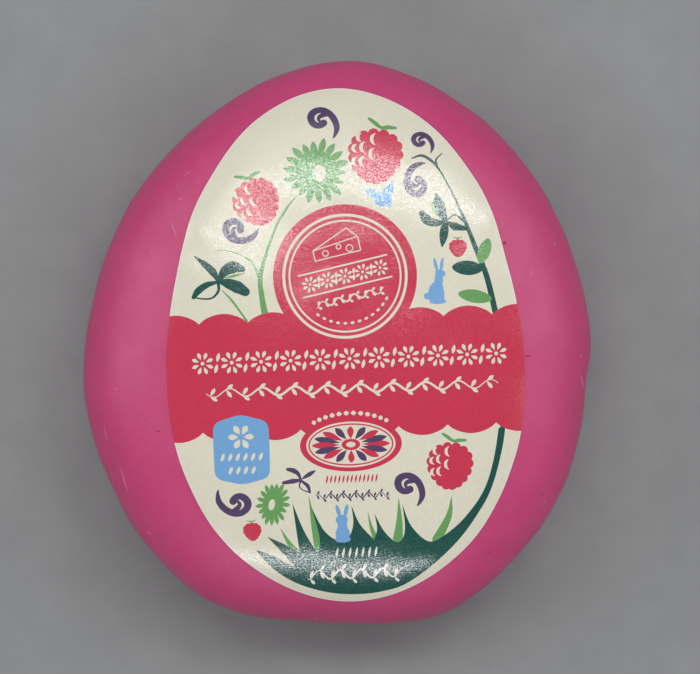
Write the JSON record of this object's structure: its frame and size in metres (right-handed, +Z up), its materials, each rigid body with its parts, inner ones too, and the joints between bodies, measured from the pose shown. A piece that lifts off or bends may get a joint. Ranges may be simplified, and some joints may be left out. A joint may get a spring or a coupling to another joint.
{
  "type": "waxed egg-shaped cheese",
  "caption": "Small flattened egg-shaped cheese in a coat of pink wax, lying on its back, with a printed paper label on its upper face.",
  "frame": {"origin": "middle of the cheese's bounding box, on the flat spot that it rests on", "axes": "+Z up out of the labelled face, +Y towards the narrow end of the egg, +X to its right as the label is read"},
  "size_m": [0.0793, 0.0883, 0.0336],
  "materials": {
    "pink_wax": "satin pink wax",
    "label_paper": "satin printed cream paper"
  },
  "bodies": {
    "root": {"waxed_cheese": "pink_wax", "front_label": "label_paper"}
  },
  "joints": []
}
